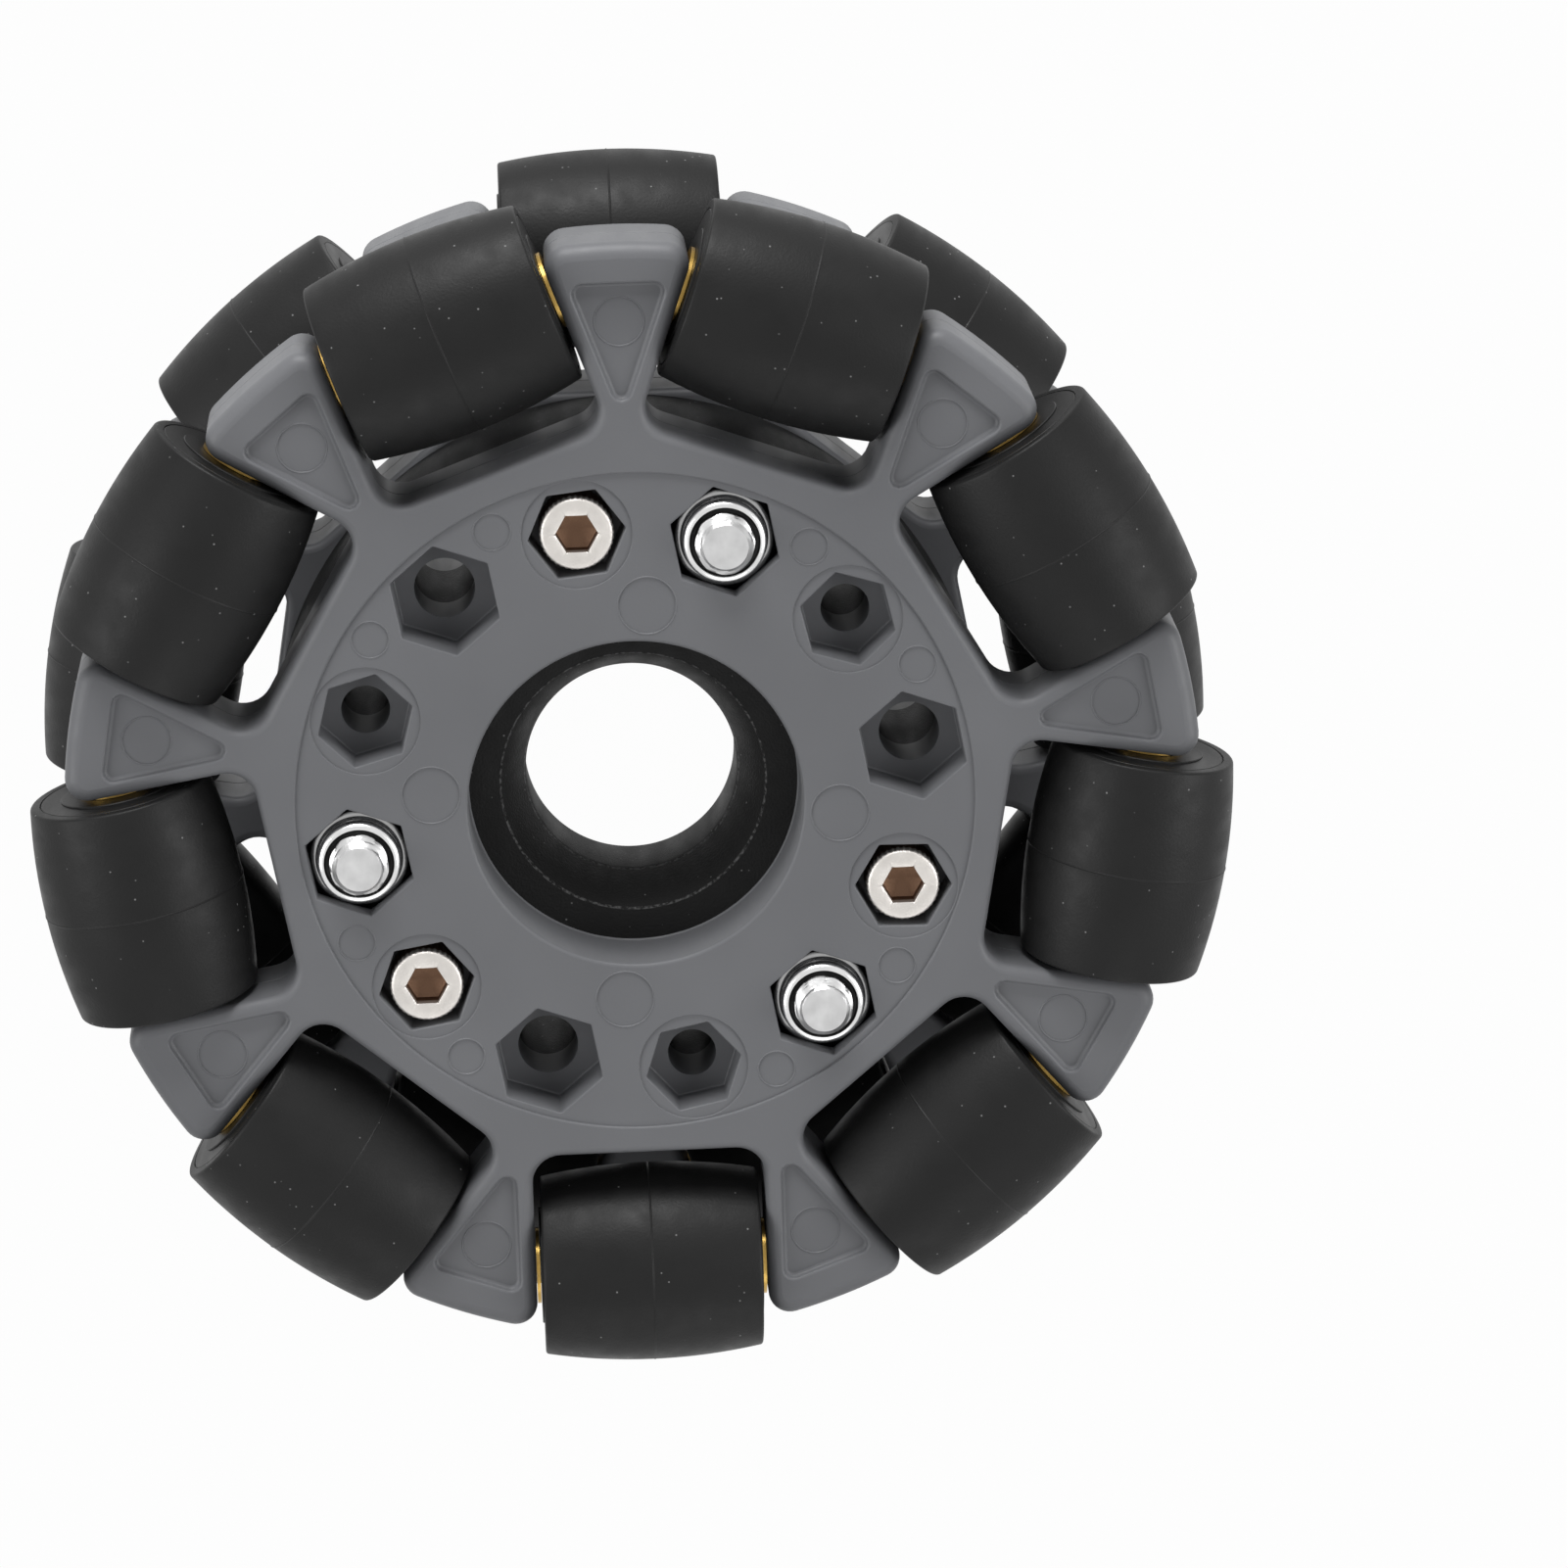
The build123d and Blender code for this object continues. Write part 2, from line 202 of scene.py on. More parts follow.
# Rollers
tread_edge = 0.45
roller_joint = 0.12  # chamfers where the rubber meets the core
boss_radius = 8.0
boss_edge = 0.1
pin_hole_radius = 2.55
parting_ridge = 0.08
parting_width = 0.09
parting_reach = 0.24  # the ridge's rings lie close together up to here
crown_start = 0.6  # and the crown's rings start here


# Surfaces: each is an array of points and a list of faces

def grid(points, wrap_rows=False):
    """Quads over rows and columns of points, where the last column meets the first again:
    corner (r, c) goes with (r, c + 1), (r + 1, c + 1) and (r + 1, c)."""
    rows, columns = points.shape[:2]
    row, column = np.meshgrid(
        np.arange(rows if wrap_rows else rows - 1), np.arange(columns), indexing="ij"
    )
    next_row = (row + 1) % rows
    next_column = (column + 1) % columns
    quads = np.stack(
        (
            row * columns + column,
            row * columns + next_column,
            next_row * columns + next_column,
            next_row * columns + column,
        ),
        axis=-1,
    )
    return points.reshape(-1, 3), quads.reshape(-1, 4).tolist(), True


def around(*rings, columns=144, wrap_rows=False):
    """A surface around the Z axis through rings, each a radius and a height. Either may be one
    number or one value for each direction: point = (r cos a, r sin a, z)."""
    angle = directions(columns)
    radius = np.stack([np.broadcast_to(ring[0], columns) for ring in rings])
    height = np.stack([np.broadcast_to(ring[1], columns) for ring in rings])
    points = np.stack((radius * np.cos(angle), radius * np.sin(angle), height), axis=-1)
    return grid(points, wrap_rows)


def directions(columns=144):
    """Evenly spread angles, in radians."""
    return np.arange(columns) * 2 * np.pi / columns


def inside(points, loops):
    """Even-odd rule: a point is inside where a line from it towards +X crosses the loops an odd
    number of times. An edge is crossed at x = x0 + (y - y0) (x1 - x0) / (y1 - y0)."""
    crossings = np.zeros(len(points), int)
    x, y = points[:, :1], points[:, 1:]
    for loop in loops:
        x0, y0 = loop.T
        x1, y1 = np.roll(loop, -1, axis=0).T
        spans = (y0 > y) != (y1 > y)
        rise = np.where(y1 == y0, 1.0, y1 - y0)
        crossings += (spans & (x < x0 + (y - y0) * (x1 - x0) / rise)).sum(axis=1)
    return crossings % 2 == 1


def flat(height, *loops):
    """A flat face at a height between closed loops: the plane is cut into triangles along the
    loops, and the triangles whose middle is inside by the even-odd rule are kept."""
    points = np.concatenate(loops)
    edges = []
    start = 0
    for loop in loops:
        count = len(loop)
        edges += [(start + i, start + (i + 1) % count) for i in range(count)]
        start += count
    made = delaunay_2d_cdt([Vector(p) for p in points], edges, [], 0, 1e-6, False)
    flat_points = np.array([tuple(p) for p in made[0]])
    triangles = np.array([tuple(face) for face in made[2]])
    triangles = triangles[inside(flat_points[triangles].mean(axis=1), loops)]
    heights = np.full((len(flat_points), 1), height)
    return np.hstack((flat_points, heights)), triangles.tolist(), False


# Paths: points in the plane, each with the direction that leads into the material

def rounded_polygon(corners, radius, steps=5):
    """A convex outline with rounded corners, run anticlockwise. A corner's arc has its centre at
    corner - radius (n1 + n2) / (1 + n1 . n2), where n1 and n2 are its sides' outward normals."""
    corners = np.array(corners, float)
    sides = np.roll(corners, -1, axis=0) - corners
    normals = np.stack((sides[:, 1], -sides[:, 0]), axis=1)
    normals /= np.linalg.norm(normals, axis=1)[:, None]
    points, outwards = [], []
    for corner, before, after in zip(corners, np.roll(normals, 1, axis=0), normals):
        centre = corner - radius * (before + after) / (1 + before @ after)
        first = math.atan2(before[1], before[0])
        turn = math.acos(np.clip(before @ after, -1, 1))
        angle = np.linspace(first, first + turn, steps)
        arc = np.stack((np.cos(angle), np.sin(angle)), axis=1)
        points.append(centre + radius * arc)
        outwards.append(arc)
    return np.concatenate(points), np.concatenate(outwards)


def circle(radius, centre=(0.0, 0.0), columns=72):
    """A circle, with directions that point away from its centre."""
    angle = directions(columns)
    outwards = np.stack((np.cos(angle), np.sin(angle)), axis=1)
    return np.array(centre) + radius * outwards, outwards


def hexagon(width, centre, turn):
    """A hexagonal pocket's outline with slightly rounded corners, turned by degrees."""
    angle = np.radians(turn + 60 * np.arange(6))
    corners = np.stack((np.cos(angle), np.sin(angle)), axis=1) * width / math.sqrt(3)
    return rounded_polygon(np.array(centre) + corners, pocket_corner_radius, steps=4)


def polar(radius, degrees):
    """A point at a distance and angle from the wheel's axis."""
    return np.array((math.cos(math.radians(degrees)), math.sin(math.radians(degrees)))) * radius


def rotated(path, degrees):
    """A path turned about the wheel's axis."""
    c, s = math.cos(math.radians(degrees)), math.sin(math.radians(degrees))
    turn = np.array(((c, s), (-s, c)))
    return path[0] @ turn, path[1] @ turn


def offset(path, distance):
    """The path's points moved into the material by a distance, or by one for each point."""
    return path[0] + path[1] * np.reshape(distance, (-1, 1))


def row_path():
    """Outline of a row's shells. Half a bay and half an arm's tip run from the bay's middle line:
    a chord, the bay's corner, its wall, the tip's corner and the tip's arc about the wheel's axis.
    They are mirrored, and repeated for each bay."""
    corner = np.array((rim_apothem + bay_corner_radius, bay_half_width - bay_corner_radius))
    tip_y = bay_half_width + tip_corner_radius
    tip_x = math.sqrt((arm_tip_radius - tip_corner_radius) ** 2 - tip_y**2)
    tip_end = math.atan2(tip_y, tip_x)

    def arc(centre, radius, start, end, steps, sign):
        angle = np.linspace(start, end, steps)
        ray = np.stack((np.cos(angle), np.sin(angle)), axis=1)
        return np.array(centre) + radius * ray, sign * ray

    chord_y = np.linspace(0, corner[1], 3, endpoint=False)
    chord = np.stack((np.full_like(chord_y, rim_apothem), chord_y), axis=1)
    parts = [
        (chord, np.tile((-1.0, 0.0), (len(chord), 1))),
        arc(corner, bay_corner_radius, math.pi, math.pi / 2, 9, 1),
        arc((tip_x, tip_y), tip_corner_radius, -math.pi / 2, tip_end, 10, -1),
        arc((0, 0), arm_tip_radius, tip_end, math.radians(row_angle / 2), 5, -1),
    ]
    points = np.concatenate([part[0] for part in parts])
    inwards = np.concatenate([part[1] for part in parts])
    keep = np.r_[True, np.linalg.norm(np.diff(points, axis=0), axis=1) > 1e-6]
    points, inwards = points[keep], inwards[keep]
    mirror = np.array((1.0, -1.0))
    half = points[:0:-1] * mirror, inwards[:0:-1] * mirror
    bay = np.concatenate((half[0], points[:-1])), np.concatenate((half[1], inwards[:-1]))
    bays = [rotated(bay, front_roller_angle + i * row_angle) for i in range(rollers_per_row)]
    return np.concatenate([b[0] for b in bays]), np.concatenate([b[1] for b in bays])


def wall(path, profile):
    """A wall along a closed path. Each step of the profile is a distance into the material and a
    height, and the distance may be one number or one for each point of the path."""
    rows = []
    for distance, height in profile:
        xy = offset(path, distance)
        rows.append(np.hstack((xy, np.broadcast_to(height, len(xy))[:, None])))
    return grid(np.stack(rows))


def rounded_edge(radius, top, down=1, steps=6):
    """Profile of a rounded outer edge, from the flat face to the wall: at angle a the distance is
    radius (1 - sin a) and the drop radius (1 - cos a). The radius may be one for each point of
    the path, and the wall rises from the face where down is -1."""
    angles = np.linspace(0, math.pi / 2, steps)
    return [
        (radius * (1 - math.sin(a)), top - down * radius * (1 - math.cos(a))) for a in angles
    ]


def rounded_foot(radius, floor, steps=4):
    """Profile of the hollow corner between a wall and the floor below it."""
    angles = np.linspace(0, math.pi / 2, steps)
    return [(-radius * (1 - math.cos(a)), floor + radius * (1 - math.sin(a))) for a in angles]


def hollow(path, mouth_z, floor_z, edge, foot, *holes):
    """Walls and floor of a recess, with holes left in its floor."""
    profile = rounded_edge(edge, mouth_z, steps=4) + rounded_foot(foot, floor_z)
    return [wall(path, profile), flat(floor_z, offset(path, -foot), *holes)]


def mould_mark(path, face):
    """A shallow round mark inside a fine raised lip."""
    floor, crest = face - mark_depth, face + mark_lip_height
    profile = [(mark_lip, face), (mark_lip * 0.7, crest), (mark_lip * 0.3, crest)]
    profile += [(0.0, face - mark_edge), *rounded_foot(mark_foot, floor)]
    return [wall(path, profile), flat(floor, offset(path, -mark_foot))]


def moved(surface, matrix):
    """A surface placed by a 4 x 4 matrix."""
    points, faces, smooth = surface
    matrix = np.array(matrix)
    return points @ matrix[:3, :3].T + matrix[:3, 3], faces, smooth


def at(x, y, degrees):
    """Places a surface on a point of the plane, turned by degrees about its own axis."""
    return Matrix.Translation((x, y, 0)) @ Matrix.Rotation(math.radians(degrees), 4, "Z")


turned_over = Matrix.Rotation(math.pi, 4, Vector((*polar(1, flip_angle), 0)))


def piece(name, surfaces, material, body, slot, *nodes, sharp=32):
    """Makes one object of surfaces: joins them, welds the points that they share, turns the faces
    outward and marks as sharp each edge that bends by more than some degrees. It moves with a
    body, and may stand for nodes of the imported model."""
    mesh = bpy.data.meshes.new(name)
    starts = np.cumsum([0] + [len(points) for points, _, _ in surfaces])
    points = np.concatenate([points for points, _, _ in surfaces]) * METRES
    faces, smooth = [], []
    for start, (_, own, is_smooth) in zip(starts, surfaces):
        faces += (np.array(own) + start).tolist()
        smooth += [is_smooth] * len(own)
    mesh.from_pydata(points, [], faces)
    mesh.polygons.foreach_set("use_smooth", smooth)
    work = bmesh.new()
    work.from_mesh(mesh)
    bmesh.ops.remove_doubles(work, verts=work.verts, dist=1e-6)
    bmesh.ops.dissolve_degenerate(work, edges=work.edges, dist=1e-7)
    bmesh.ops.recalc_face_normals(work, faces=work.faces)
    for edge in work.edges:
        edge.smooth = len(edge.link_faces) == 2 and edge.calc_face_angle() < math.radians(sharp)
    work.to_mesh(mesh)
    work.free()
    made = bpy.data.objects.new(name, mesh)
    bpy.context.scene.collection.objects.link(made)
    mesh.materials.append(material)
    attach(made, body)
    if nodes:
        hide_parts(*nodes)


# Materials

# Sizes of the patterns, in millimetres
tone_size = 22.0
metal_tone_size = 2.5
scuff_size = 3.0
highlight_breakup_size = 0.5
dust_spacing = 1.2
stain_and_shade_fade = 0.4

# Where in a pattern's factor the change starts and ends
tone_span = 0.3, 0.7
highlight_breakup_span = 0.42, 0.62
dot_span = 0.07, 0.13  # distance from a cell's middle, in cells
rare_span = 0.74, 0.78


def srgb(value):
    """A grey or colour as seen on screen, 0 to 255, as linear light."""
    channels = np.broadcast_to(np.array(value, float) / 255, 3)
    linear = np.where(channels < 0.04045, channels / 12.92, ((channels + 0.055) / 1.055) ** 2.4)
    return (*linear.tolist(), 1.0)


def add(tree, kind, inputs=None, **settings):
    """Adds a shader node. An input is a plain value, or the output of another node."""
    node = tree.nodes.new(kind)
    for key, value in settings.items():
        setattr(node, key, value)
    for key, value in (inputs or {}).items():
        if isinstance(value, bpy.types.NodeSocket):
            tree.links.new(value, node.inputs[key])
        else:
            node.inputs[key].default_value = value
    return node


def new_material(name):
    """An empty material with its shader, its node tree and its object coordinates."""
    material = bpy.data.materials.new(name)
    material.use_nodes = True
    tree = material.node_tree
    shader = tree.nodes["Principled BSDF"]
    place = add(tree, "ShaderNodeTexCoord").outputs["Object"]
    return material, tree, shader, place


def noise(tree, place, size, detail=3.0, stretch=None):
    """Noise whose lumps are about a size in millimetres, stretched along the axes if asked."""
    if stretch is not None:
        place = add(tree, "ShaderNodeMapping", {"Vector": place, "Scale": stretch}).outputs[0]
    inputs = {"Vector": place, "Scale": 1 / (size * METRES), "Detail": detail}
    return add(tree, "ShaderNodeTexNoise", inputs).outputs["Fac"]


def between(tree, factor, low, high, start=0.0, end=1.0):
    """Reads a factor from start to end as a value from low to high."""
    inputs = {"Value": factor, "From Min": start, "From Max": end, "To Min": low, "To Max": high}
    return add(tree, "ShaderNodeMapRange", inputs).outputs["Result"]


def blend_colours(tree, factor, first, second):
    """Mixes two colours by a factor. The node has a set of inputs for each data type, so its
    colour inputs and output are given by number."""
    inputs = {0: factor, 6: first, 7: second}
    return add(tree, "ShaderNodeMix", inputs, data_type="RGBA").outputs[2]


def product(tree, first, second):
    """Multiplies two factors."""
    return add(tree, "ShaderNodeMath", {0: first, 1: second}, operation="MULTIPLY").outputs[0]


def bump(tree, height, depth, normal=None):
    """Raises the surface by a height from 0 to 1, times a depth in millimetres."""
    inputs = {"Height": height, "Strength": 1.0, "Distance": depth * METRES}
    if normal is not None:
        inputs["Normal"] = normal
    return add(tree, "ShaderNodeBump", inputs).outputs["Normal"]


def specks(tree, place):
    """Where specks of dust lie: a small dot in the middle of some of the cells."""
    inputs = {"Vector": place, "Scale": 1 / (dust_spacing * METRES), "Randomness": 1.0}
    cells = add(tree, "ShaderNodeTexVoronoi", inputs).outputs
    dot = between(tree, cells["Distance"], 1, 0, *dot_span)
    rare = between(tree, cells["Color"], 0, 1, *rare_span)
    return product(tree, dot, rare)


def moulded(name, dark, light, rough, grain, depth, specular, speck=None):
    """Moulded plastic or rubber: slow colour changes, a fine grain, and specks of dust."""
    material, tree, shader, place = new_material(name)
    slow = noise(tree, place, tone_size)
    fine = noise(tree, place, grain, detail=4.0)
    scuffs = noise(tree, place, scuff_size, detail=6.0, stretch=(1.0, 1.0, 0.25))
    tone = between(tree, slow, 0, 1, *tone_span)
    colour = blend_colours(tree, tone, srgb(dark), srgb(light))
    if speck is not None:
        colour = blend_colours(tree, specks(tree, place), colour, srgb(speck))
    tree.links.new(colour, shader.inputs["Base Color"])
    tree.links.new(between(tree, scuffs, *rough, *tone_span), shader.inputs["Roughness"])
    shader.inputs["Specular IOR Level"].default_value = specular
    normal = bump(tree, scuffs, depth * 0.6)
    tree.links.new(bump(tree, fine, depth, normal), shader.inputs["Normal"])
    return material


def painted_edge_highlights(material, colour, *rings):
    """Painted highlights along edges: lighter rings about the wheel's axis, each a radius and half
    a
    width, broken up by noise: the colour shows where the distance from the axis is near the
    radius."""
    tree = material.node_tree
    shader = tree.nodes["Principled BSDF"]
    place = add(tree, "ShaderNodeTexCoord").outputs["Object"]
    flattened = {0: place, 1: (1.0, 1.0, 0.0)}
    across = add(tree, "ShaderNodeVectorMath", flattened, operation="MULTIPLY").outputs[0]
    from_axis = add(tree, "ShaderNodeVectorMath", {0: across}, operation="LENGTH").outputs["Value"]
    # Noise breaks the painted highlights up
    highlight_breakup = between(tree, noise(tree, place, highlight_breakup_size), 0, 1, *highlight_breakup_span)
    base = shader.inputs["Base Color"].links[0].from_socket
    for radius, half_width in rings:
        inner, outer = (radius - half_width) * METRES, (radius + half_width) * METRES
        edge = half_width * METRES / 2
        rise = between(tree, from_axis, 0, 1, inner, inner + edge)
        fall = between(tree, from_axis, 1, 0, outer - edge, outer)
        share = product(tree, product(tree, rise, fall), highlight_breakup)
        base = blend_colours(tree, share, base, srgb(colour))
    tree.links.new(base, shader.inputs["Base Color"])


def metal(name, dark, light, rough, grain, depth, stretch=None, stain_or_painted_shade=None):
    """Plated or plain metal, with fine scratches, and a stain or painted shade below a height, if
    given.
    """
    material, tree, shader, place = new_material(name)
    slow = noise(tree, place, metal_tone_size, detail=4.0)
    fine = noise(tree, place, grain, detail=3.0, stretch=stretch)
    colour = blend_colours(tree, slow, srgb(dark), srgb(light))
    # Below the height the colour fades to the tint: the real stain in the screws' sockets, and
    # painted shade on the M8 nuts
    if stain_or_painted_shade is not None:
        tint, height = stain_or_painted_shade
        level = add(tree, "ShaderNodeSeparateXYZ", {0: place}).outputs["Z"]
        low, top = (height - stain_and_shade_fade) * METRES, height * METRES
        colour = blend_colours(tree, between(tree, level, 1, 0, low, top), colour, srgb(tint))
    tree.links.new(colour, shader.inputs["Base Color"])
    shader.inputs["Metallic"].default_value = 1.0
    tree.links.new(between(tree, fine, *rough), shader.inputs["Roughness"])
    tree.links.new(bump(tree, fine, depth), shader.inputs["Normal"])
    return material


# Each has its darkest and lightest tone, its roughness, and its grain's size and depth
shell_tones = (107, 108, 111), (113, 114, 117)
shell_plastic = moulded("shell_plastic", *shell_tones, (0.42, 0.54), 0.5, 0.02, specular=0.35)
core_plastic = moulded("core_plastic", 20, 26, (0.52, 0.66), 0.35, 0.09, specular=0.2, speck=120)
# Painted highlights on the edges of the cone's mouth and of the neck
painted_edge_highlights(core_plastic, 96, (cone_mouth_radius + 0.05, 0.17), (neck_radius + 0.2, 0.12))
tread_rubber = moulded("tread_rubber", 21, 26, (0.40, 0.54), 0.4, 0.03, specular=0.2, speck=130)
roller_plastic = moulded("roller_plastic", 22, 28, (0.40, 0.52), 0.6, 0.02, specular=0.25)
insert_nylon = moulded("insert_nylon", 26, 34, (0.35, 0.45), 0.6, 0.02, specular=0.3)
pin_steel = metal("pin_steel", 190, 205, (0.25, 0.35), 0.3, 0.004)
washer_brass = metal("washer_brass", (176, 140, 70), (214, 180, 104), (0.22, 0.38), 0.4, 0.006)
screw_tones = (180, 176, 172), (212, 208, 203)
socket_stain = (104, 80, 64), socket_head_z - 1.2
screw_steel = metal("screw_steel", *screw_tones, (0.34, 0.52), 0.22, 0.05, stain_or_painted_shade=socket_stain)
bolt_steel = metal("bolt_steel", 172, 220, (0.22, 0.42), 0.7, 0.05, stretch=(1.0, 0.4, 1.0))
nut_steel = metal("nut_steel", 206, 232, (0.16, 0.28), 0.6, 0.010)
# Painted shade: the M8 nuts below their collars are coloured near black for the shadow deep in
# their pockets
pocket_painted_shade = (24, 24, 26), large_nut_low + m8_hexagon_height + 0.2
collar_steel = metal("collar_steel", 200, 232, (0.14, 0.28), 0.8, 0.02, stain_or_painted_shade=pocket_painted_shade)


# Shells

outline = row_path()
outline_distance = np.linalg.norm(outline[0], axis=1)
edge_radii = np.interp(
    outline_distance, (rim_apothem, arm_tip_radius), (rim_edge_radius, tip_edge_radius)
)


def arm_angle(index):
    """Direction of an arm's middle line."""
    return front_roller_angle - row_angle / 2 + index * row_angle


def arm_recess(index):
    """Outline of the triangular recess in an arm, which keeps a rib beside each bay."""
    slope = math.radians(row_angle / 2)
    inner = arm_recess_wall / math.sin(slope)
    half = (arm_recess_end * math.sin(slope) - arm_recess_wall) / math.cos(slope)
    corners = ((inner, 0), (arm_recess_end, -half), (arm_recess_end, half))
    path = rounded_polygon(corners, arm_recess_corner_radius)
    return rotated(path, arm_angle(index))


def small_pocket(angle, turn):
    """Outline of a small pocket; at no turn a flat side faces the wheel's axis."""
    return hexagon(small_pocket_width, polar(bolt_circle_radius, angle), angle + 30 + turn)


def large_pocket(angle):
    """Outline of a large pocket, with a flat side towards the wheel's axis."""
    return hexagon(large_pocket_width, polar(bolt_circle_radius, angle), angle + 30)


def bolt_holes():
    """The bolt holes' circles, first those of the small pockets."""
    small = [(angle, small_hole_radius) for angle in small_pocket_angles]
    large = [(angle, large_hole_radius) for angle in large_pocket_angles]
    return [
        circle(radius, polar(bolt_circle_radius, angle), columns=48)
        for angle, radius in small + large
    ]


def arm_recesses():
    """Surfaces of the arms' recesses, each with its mark, and the holes that they leave above."""
    surfaces, holes = [], []
    floor_z = face_z - arm_recess_depth
    for index in range(rollers_per_row):
        recess = arm_recess(index)
        holes.append(offset(recess, arm_recess_edge))
        mark = circle(arm_mark_radius, polar(arm_mark_distance, arm_angle(index)))
        mouth = offset(mark, mark_lip)
        surfaces += hollow(recess, face_z, floor_z, arm_recess_edge, arm_recess_foot, mouth)
        surfaces += mould_mark(mark, floor_z)
    return surfaces, holes


def hub_marks():
    """Surfaces of the hub face's marks, and the holes that they leave in it."""
    surfaces, holes = [], []
    marks = [(large_mark_radius, large_mark_distance, angle) for angle in large_mark_angles]
    marks += [(small_mark_radius, small_mark_distance, angle) for angle in small_mark_angles]
    for radius, distance, angle in marks:
        mark = circle(radius, polar(distance, angle))
        holes.append(offset(mark, mark_lip))
        surfaces += mould_mark(mark, hub_face_z)
    return surfaces, holes


def pockets(bolt_circles):
    """Surfaces of the pockets and bolt holes, and the holes that they leave in the hub face."""
    surfaces, holes = [], []
    ring_z = hub_face_z - ring_depth
    small_circles, large_circles = bolt_circles[:6], bolt_circles[6:]
    for angle, turn, bolt in zip(small_pocket_angles, small_pocket_turns, small_circles):
        ring = circle(ring_radius, polar(bolt_circle_radius, angle))
        holes.append(offset(ring, ring_edge))
        pocket = small_pocket(angle, turn)
        mouth = offset(pocket, pocket_edge)
        surfaces += hollow(ring, hub_face_z, ring_z, ring_edge, ring_foot, mouth)
        surfaces += hollow(pocket, ring_z, small_pocket_floor, pocket_edge, pocket_foot, bolt[0])
        surfaces.append(wall(bolt, [(0.0, small_pocket_floor), (0.0, flange_z)]))
    floor_z = large_pocket_floor
    for angle, bolt in zip(large_pocket_angles, large_circles):
        pocket = large_pocket(angle)
        holes.append(offset(pocket, pocket_edge))
        surfaces += hollow(pocket, hub_face_z, floor_z, pocket_edge, pocket_foot, bolt[0])
        surfaces.append(wall(bolt, [(0.0, floor_z), (0.0, flange_z)]))
    return surfaces, holes


def outer_shell():
    """Face, arms, rim, recessed hub face with its pockets and marks, seat and plug."""
    bolt_circles = bolt_holes()
    arm_surfaces, arm_holes = arm_recesses()
    mark_surfaces, mark_holes = hub_marks()
    pocket_surfaces, pocket_holes = pockets(bolt_circles)
    rim = circle(hub_face_radius, columns=180)
    seat = circle(seat_radius, columns=180)
    plug = circle(plug_radius, columns=180)
    ledge = spigot_bore_radius - seat_radius

    outside = rounded_edge(edge_radii, face_z, steps=7)
    outside += [(0.0, row_plane + parting_chamfer), (parting_chamfer, row_plane)]
    seat_profile = rounded_edge(seat_mouth_radius, hub_face_z) + [(0.0, seat_flash_high)]
    seat_profile += [(-seat_flash, seat_flash_low), (-seat_flash, seat_foot_z)]
    seat_profile += [(ledge, seat_foot_z), (ledge, flange_z)]
    seat_mouth = offset(seat, seat_mouth_radius)
    return [
        wall(outline, outside),
        flat(face_z, offset(outline, edge_radii), offset(rim, hub_face_edge), *arm_holes),
        wall(rim, rounded_edge(hub_face_edge, face_z, steps=4) + [(0.0, hub_face_z)]),
        *arm_surfaces,
        *mark_surfaces,
        *pocket_surfaces,
        flat(hub_face_z, rim[0], seat_mouth, *mark_holes, *pocket_holes),
        wall(seat, seat_profile),
        wall(plug, [(0.0, flange_z), (0.0, row_plane)]),
        flat(row_plane, offset(outline, parting_chamfer), plug[0]),
        flat(flange_z, plug[0], offset(seat, ledge), *[bolt[0] for bolt in bolt_circles]),
    ]


def inner_shell():
    """The arms' other half, below the parting line, as a ring around the plug."""
    outside = [(parting_chamfer, row_plane), (0.0, row_plane - parting_chamfer)]
    outside += reversed(rounded_edge(edge_radii, flange_z, down=-1, steps=7))
    bore = circle(plug_radius + moulding_play, columns=180)
    return [
        wall(outline, outside),
        flat(row_plane, offset(outline, parting_chamfer), bore[0]),
        flat(flange_z, offset(outline, edge_radii), bore[0]),
        wall(bore, [(0.0, flange_z), (0.0, row_plane)]),
    ]


def hub_core():
    """Spacer between the rows: rim, a spigot into each half, and a bore that narrows to a neck."""
    bolt_circles = bolt_holes()
    neck = [(neck_radius, -neck_half), (neck_radius, neck_half)]
    front = [
        (cone_mouth_radius, spigot_z - core_edge),
        (cone_mouth_radius + core_edge, spigot_z),
        (spigot_radius - core_edge, spigot_z),
        (spigot_radius, spigot_z - core_edge),
        (spigot_radius, flange_z),
    ]
    back = [(radius, -height) for radius, height in reversed(front)]
    points, outwards = circle(core_rim_radius, columns=180)
    rim = points, -outwards
    rim_edge = [(core_edge, flange_z), (0.0, flange_z - core_edge)]
    rim_profile = rim_edge + [(distance, -height) for distance, height in reversed(rim_edge)]
    surfaces = [around(*back, *neck, *front, columns=180), wall(rim, rim_profile)]
    spigot = circle(spigot_radius, columns=180)
    loops = [offset(rim, core_edge), spigot[0], *[bolt[0] for bolt in bolt_circles]]
    surfaces += [flat(height, *loops) for height in (flange_z, -flange_z)]
    surfaces += [wall(bolt, [(0.0, flange_z), (0.0, -flange_z)]) for bolt in bolt_circles]
    return surfaces


shells = {"outer": outer_shell(), "inner": inner_shell()}
for kind, surfaces in shells.items():
    node = f"front_{kind}_shell"
    piece(f"{node}_moulding", surfaces, shell_plastic, "hub", "shell_plastic", node)
    node = f"back_{kind}_shell"
    over = [moved(surface, turned_over) for surface in surfaces]
    piece(f"{node}_moulding", over, shell_plastic, "hub", "shell_plastic", node)
piece("hub_core_moulding", hub_core(), core_plastic, "hub", "core_plastic", "hub_core")


# Rollers

